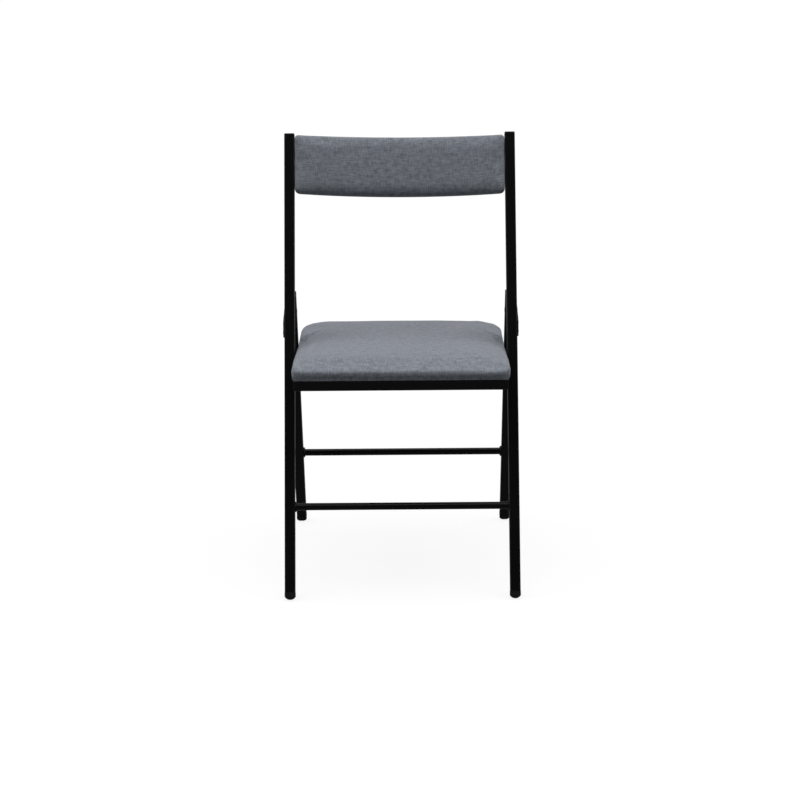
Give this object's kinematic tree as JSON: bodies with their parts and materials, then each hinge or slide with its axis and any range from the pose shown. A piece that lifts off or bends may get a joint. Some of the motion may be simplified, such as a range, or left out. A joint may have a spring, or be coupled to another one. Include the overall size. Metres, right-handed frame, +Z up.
{
  "type": "folding chair",
  "caption": "Folding chair with a square-tube steel frame, straight front legs that run up to a bowed padded backrest, hinged rear legs and a padded seat that tips up.",
  "frame": {"origin": "on the floor, under the middle of the standing chair: half-way across its width and half-way between its front-most and rear-most points", "axes": "+X to the right of someone who faces the chair, +Y from its front to its back, +Z up"},
  "size_m": [0.4574, 0.4882, 0.8429],
  "materials": {
    "black_paint": "gloss black powder coat",
    "black_steel": "black oxide, satin",
    "plain_steel": "zinc plated",
    "black_plastic": "black moulded polyethylene",
    "nylon": "natural nylon",
    "grey_fabric": "grey melange plain weave over foam",
    "black_cloth": "black lining cloth",
    "plywood": "raw plywood"
  },
  "bodies": {
    "long_frame": {"left_long_tube": "black_paint", "right_long_tube": "black_paint", "front_rung": "black_paint", "left_front_foot": "black_plastic", "right_front_foot": "black_plastic", "left_top_plug": "black_plastic", "right_top_plug": "black_plastic", "left_hinge_plate": "black_paint", "right_hinge_plate": "black_paint", "plate_rivets": "black_steel", "left_hinge_rivet": "black_steel", "right_hinge_rivet": "black_steel", "hinge_washers": "nylon", "seat_pivot_bolts": "plain_steel", "seat_rivet_nuts": "plain_steel", "seat_pivot_washers": "nylon", "upper_back_rail": "black_paint", "lower_back_rail": "black_paint", "backrest_board": "plywood", "backrest_cushion": "grey_fabric", "backrest_back_cover": "black_cloth", "backrest_screws": "black_steel"},
    "rear_frame": {"left_rear_leg": "black_paint", "right_rear_leg": "black_paint", "lower_rear_rung": "black_paint", "upper_rear_rung": "black_paint", "left_rear_foot": "black_plastic", "right_rear_foot": "black_plastic", "left_rear_top_plug": "black_plastic", "right_rear_top_plug": "black_plastic", "hinge_sleeves": "plain_steel"},
    "seat": {"seat_front_bar": "black_paint", "seat_rear_bar": "black_paint", "seat_left_bar": "black_paint", "seat_right_bar": "black_paint", "seat_bar_plugs": "black_plastic", "seat_board": "plywood", "seat_cushion": "grey_fabric", "seat_dust_cover": "black_cloth", "seat_screws": "black_steel", "left_seat_hook": "black_paint", "right_seat_hook": "black_paint", "seat_rest_pads": "black_plastic", "seat_pivot_bushings": "nylon"}
  },
  "joints": [
    {"name": "rear_frame_fold", "type": "hinge", "parent": "long_frame", "child": "rear_frame", "pos_m": [0, 0.02103, 0.50425], "axis": [-1, 0, 0], "range_deg": [0, 45.5]},
    {"name": "seat_fold", "type": "hinge", "parent": "long_frame", "child": "seat", "pos_m": [0, -0.06758, 0.413], "axis": [1, 0, 0], "range_deg": [0, 67.7]}
  ]
}
